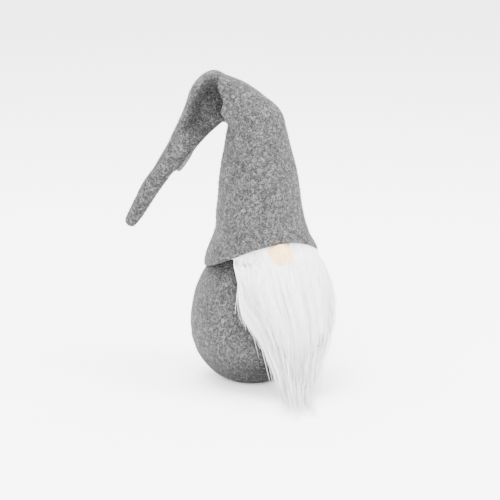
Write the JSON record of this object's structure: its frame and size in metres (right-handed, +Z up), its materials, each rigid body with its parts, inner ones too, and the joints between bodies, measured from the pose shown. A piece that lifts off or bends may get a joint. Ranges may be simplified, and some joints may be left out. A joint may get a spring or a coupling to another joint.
{
  "type": "felt gnome figurine",
  "caption": "Standing felt gnome with a tall folded hat, wooden bead nose, long white fur beard and weighted round body.",
  "frame": {"origin": "centre of the flat base, on the surface that the figure stands on", "axes": "+Z up; the face looks along -Y; the hat's tail falls towards -X and a little +Y"},
  "size_m": [0.1265, 0.1547, 0.225],
  "materials": {
    "grey_felt": "matte",
    "grey_thread": "matte",
    "fur": "satin",
    "fur_backing": "matte",
    "bead_wood": "satin",
    "card": "matte",
    "bag_cloth": "matte",
    "ballast": "matte",
    "fibrefill": "matte",
    "glue": "satin",
    "wire": "satin"
  },
  "bodies": {
    "root": {"body_felt": "grey_felt", "base_felt_disc": "grey_felt", "hat_cone_felt": "grey_felt", "hat_fold_felt": "grey_felt", "body_seam_stitches": "grey_thread", "base_seam_thread": "grey_thread", "neck_tie_thread": "grey_thread", "hat_cone_stitches": "grey_thread", "base_card": "card", "ballast_bag": "bag_cloth", "ballast_fill": "ballast", "body_stuffing": "fibrefill", "hat_stuffing": "fibrefill", "nose_bead": "bead_wood", "nose_glue": "glue", "hat_glue_ring": "glue", "beard_backing": "fur_backing", "beard_upper": "fur", "hat_wire_lower": "wire"},
    "beard": {"beard_fall": "fur"},
    "hat_tail": {"hat_tail_felt": "grey_felt", "hat_tail_stitches": "grey_thread", "hat_bend_felt": "grey_felt", "hat_wire_tail": "wire"},
    "hat_tip": {"hat_tip_felt": "grey_felt", "hat_tip_stitches": "grey_thread", "hat_wire_tip": "wire"}
  },
  "joints": [
    {"name": "beard_lift", "type": "hinge", "parent": "root", "child": "beard", "pos_m": [0, -0.038, 0.084], "axis": [-1, 0, 0], "range_deg": [0, 60]},
    {"name": "hat_fold", "type": "hinge", "parent": "root", "child": "hat_tail", "pos_m": [-0.02338, 0.0135, 0.2055], "axis": [0.5, 0.866, 0], "range_deg": [-10, 45], "deforming": ["hat_fold_felt"]},
    {"name": "hat_tip_bend", "type": "hinge", "parent": "hat_tail", "child": "hat_tip", "pos_m": [-0.05094, 0.02941, 0.15761], "axis": [0.5, 0.866, 0], "range_deg": [-30, 60], "deforming": ["hat_bend_felt"]}
  ]
}
